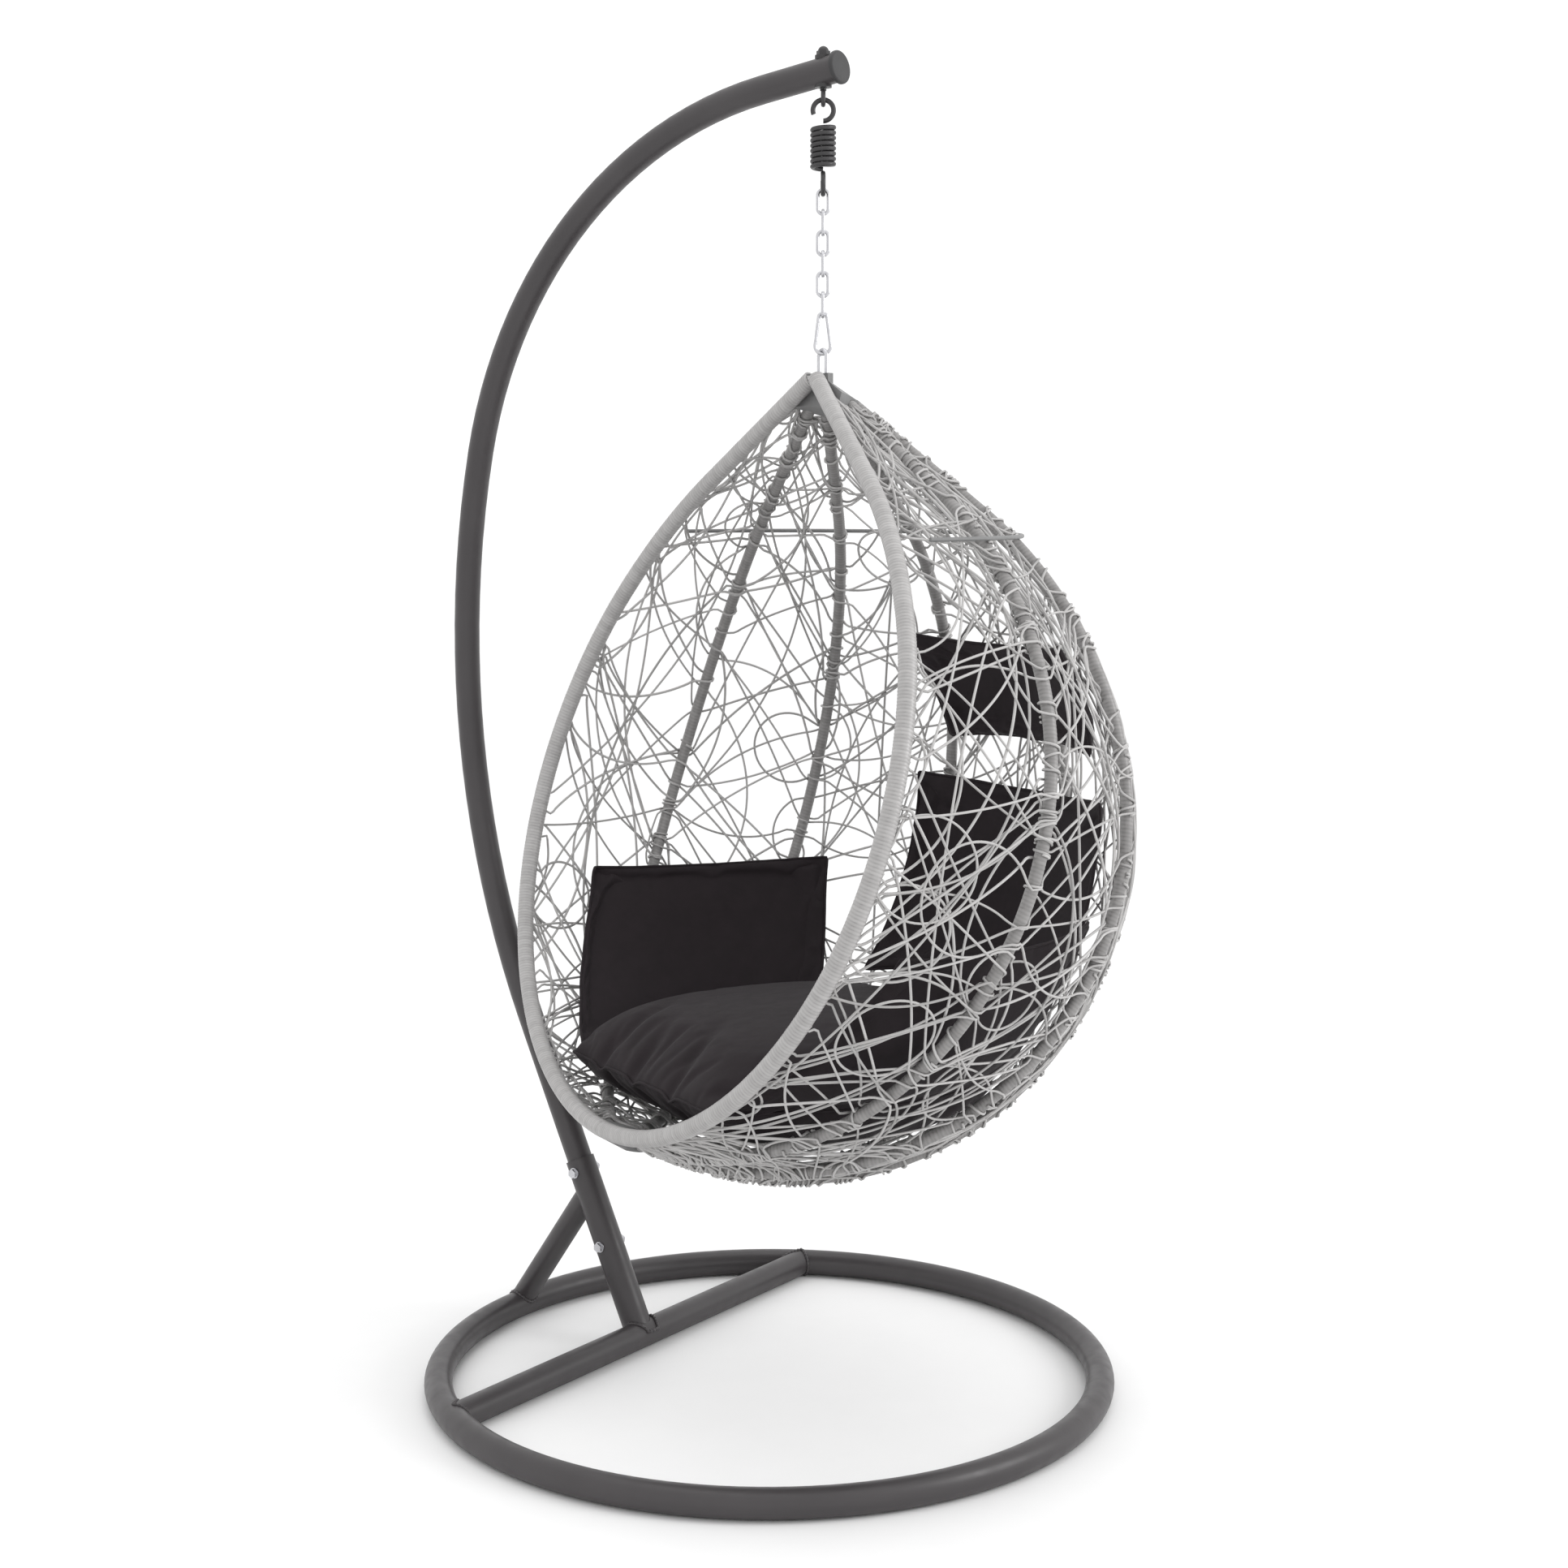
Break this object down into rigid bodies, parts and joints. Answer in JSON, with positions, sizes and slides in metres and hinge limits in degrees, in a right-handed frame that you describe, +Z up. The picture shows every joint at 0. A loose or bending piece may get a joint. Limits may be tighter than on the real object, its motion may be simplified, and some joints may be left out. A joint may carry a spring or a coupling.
{
  "type": "hanging chair",
  "caption": "Teardrop wicker hanging chair on a C-shaped tube stand with a round base ring, hung from a spring, chain and snap hook, with loose cushions.",
  "frame": {"origin": "centre of the base ring, on the floor it stands on", "axes": "+Z up, +Y from the centre to the ring's post side; the stand is symmetric about the YZ plane and the chair hangs over -Y; the basket opens towards about -X"},
  "size_m": [1.0424, 1.1961, 1.9659],
  "materials": {
    "frame_paint": "satin",
    "cap_plastic": "matte",
    "zinc_steel": "bright zinc",
    "black_steel": "dark oxide",
    "basket_steel": "satin",
    "wrap_resin": "satin",
    "weave_resin": "satin",
    "cushion_fabric": "woven polyester"
  },
  "bodies": {
    "stand": {"base_ring": "frame_paint", "crossbar": "frame_paint", "post_socket": "frame_paint", "rear_brace": "frame_paint", "arch_pole": "frame_paint", "arch_end_cap": "cap_plastic", "arch_bolts": "zinc_steel", "arch_nuts": "zinc_steel", "arch_washers": "zinc_steel", "eye_bolt": "black_steel", "eye_bolt_nut": "black_steel", "eye_bolt_washers": "black_steel"},
    "spring": {"spring_upper_hook": "black_steel", "spring_coil": "black_steel"},
    "spring_hook": {"spring_lower_hook": "black_steel"},
    "link_1": {"chain_link_1": "zinc_steel"},
    "link_2": {"chain_link_2": "zinc_steel"},
    "link_3": {"chain_link_3": "zinc_steel"},
    "link_4": {"chain_link_4": "zinc_steel"},
    "link_5": {"chain_link_5": "zinc_steel"},
    "link_6": {"chain_link_6": "zinc_steel"},
    "snap_hook": {"snap_hook": "zinc_steel", "gate_pin": "zinc_steel"},
    "snap_gate": {"snap_gate": "zinc_steel"},
    "basket": {"top_eye": "zinc_steel", "crown": "basket_steel", "foot_hub": "basket_steel", "hoop_right": "basket_steel", "hoop_left": "basket_steel", "hoop_wrap_right": "wrap_resin", "hoop_wrap_left": "wrap_resin", "back_rod": "basket_steel", "rib_1": "basket_steel", "rib_2": "basket_steel", "rib_3": "basket_steel", "rib_4": "basket_steel", "rib_5": "basket_steel", "rib_6": "basket_steel", "rib_7": "basket_steel", "weave_panel_1": "weave_resin", "weave_panel_2": "weave_resin", "weave_panel_3": "weave_resin", "weave_panel_4": "weave_resin", "weave_panel_5": "weave_resin", "weave_panel_6": "weave_resin", "weave_panel_7": "weave_resin", "weave_panel_8": "weave_resin", "seat_cushion": "cushion_fabric", "back_cushion": "cushion_fabric", "head_cushion": "cushion_fabric", "arm_cushion_right": "cushion_fabric", "arm_cushion_left": "cushion_fabric"}
  },
  "joints": [
    {"name": "spring_swing", "type": "hinge", "parent": "stand", "child": "spring", "pos_m": [0, -0.095, 1.8855], "axis": [-0.8126, -0.5828, 0], "range_deg": [-2, 8]},
    {"name": "spring_bounce", "type": "slide", "parent": "spring", "child": "spring_hook", "axis": [0, 0, -1], "range_m": [0, 0.035], "stiffness_N_per_m": 12000, "springref_m": -0.04, "deforming": ["spring_coil"]},
    {"name": "link_1_swing", "type": "hinge", "parent": "spring_hook", "child": "link_1", "pos_m": [0, -0.095, 1.76871], "axis": [-0.5828, 0.8126, 0], "range_deg": [-6, 6]},
    {"name": "link_2_twist", "type": "hinge", "parent": "link_1", "child": "link_2", "pos_m": [0, -0.095, 1.73491], "axis": [0, 0, 1], "range_deg": [-8, 8]},
    {"name": "link_3_swing", "type": "hinge", "parent": "link_2", "child": "link_3", "pos_m": [0, -0.095, 1.70631], "axis": [0.8126, 0.5828, 0], "range_deg": [-6, 2]},
    {"name": "link_4_twist", "type": "hinge", "parent": "link_3", "child": "link_4", "pos_m": [0, -0.095, 1.67771], "axis": [0, 0, 1], "range_deg": [-8, 8]},
    {"name": "link_5_swing", "type": "hinge", "parent": "link_4", "child": "link_5", "pos_m": [0, -0.095, 1.65431], "axis": [0.5828, -0.8126, 0], "range_deg": [-6, 6]},
    {"name": "link_6_twist", "type": "hinge", "parent": "link_5", "child": "link_6", "pos_m": [0, -0.095, 1.62051], "axis": [0, 0, 1], "range_deg": [-8, 8]},
    {"name": "snap_hook_twist", "type": "hinge", "parent": "link_6", "child": "snap_hook", "pos_m": [0, -0.095, 1.59191], "axis": [0, 0, 1], "range_deg": [-10, 10]},
    {"name": "basket_tilt", "type": "hinge", "parent": "snap_hook", "child": "basket", "pos_m": [0, -0.095, 1.54581], "axis": [-0.3987, -0.9171, 0], "range_deg": [-6, 6]},
    {"name": "gate_open", "type": "hinge", "parent": "snap_hook", "child": "snap_gate", "pos_m": [-0.00578, -0.08694, 1.56042], "axis": [0.8126, 0.5828, 0], "range_deg": [0, 8], "stiffness_Nm_per_rad": 0.05, "springref_deg": -17.19}
  ]
}
